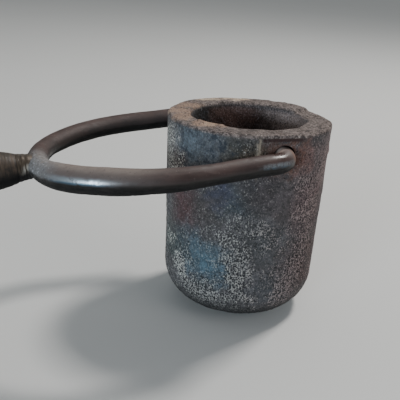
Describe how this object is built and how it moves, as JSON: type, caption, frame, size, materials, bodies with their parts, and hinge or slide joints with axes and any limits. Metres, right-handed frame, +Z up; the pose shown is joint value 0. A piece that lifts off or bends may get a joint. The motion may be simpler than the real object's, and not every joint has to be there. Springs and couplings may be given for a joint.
{
  "type": "melting pot",
  "caption": "Small thick-walled cast iron melting cup hung by its rim in a round-rod fork with a turned wooden handle.",
  "frame": {"origin": "centre of the pot's flat base, on the surface that it stands on", "axes": "+Z up along the pot's axis; +Y along the hinge axis, through both trunnion holes; the handle points along -X at rest"},
  "size_m": [0.2776, 0.097, 0.0925],
  "materials": {
    "pot_iron": "scaled and pitted, with rust at the holes and a worn rim",
    "fork_rod": "forged rod, smooth dark fire scale, semi-gloss",
    "tang_steel": "dull, darkened",
    "braze": "rippled and heat-darkened",
    "ferrule_steel": "heat-browned, with turning marks",
    "grip_wood": "oiled hardwood, worn",
    "burr_steel": "hammered"
  },
  "bodies": {
    "pot": {"pot": "pot_iron"},
    "handle": {"yoke": "fork_rod", "tang": "tang_steel", "braze_fillet": "braze", "ferrule": "ferrule_steel", "grip": "grip_wood", "burr": "burr_steel"}
  },
  "joints": [
    {"name": "handle_swing", "type": "hinge", "parent": "pot", "child": "handle", "pos_m": [0, 0, 0.083], "axis": [0, 1, 0], "range_deg": [-12.9, 203.5]}
  ]
}
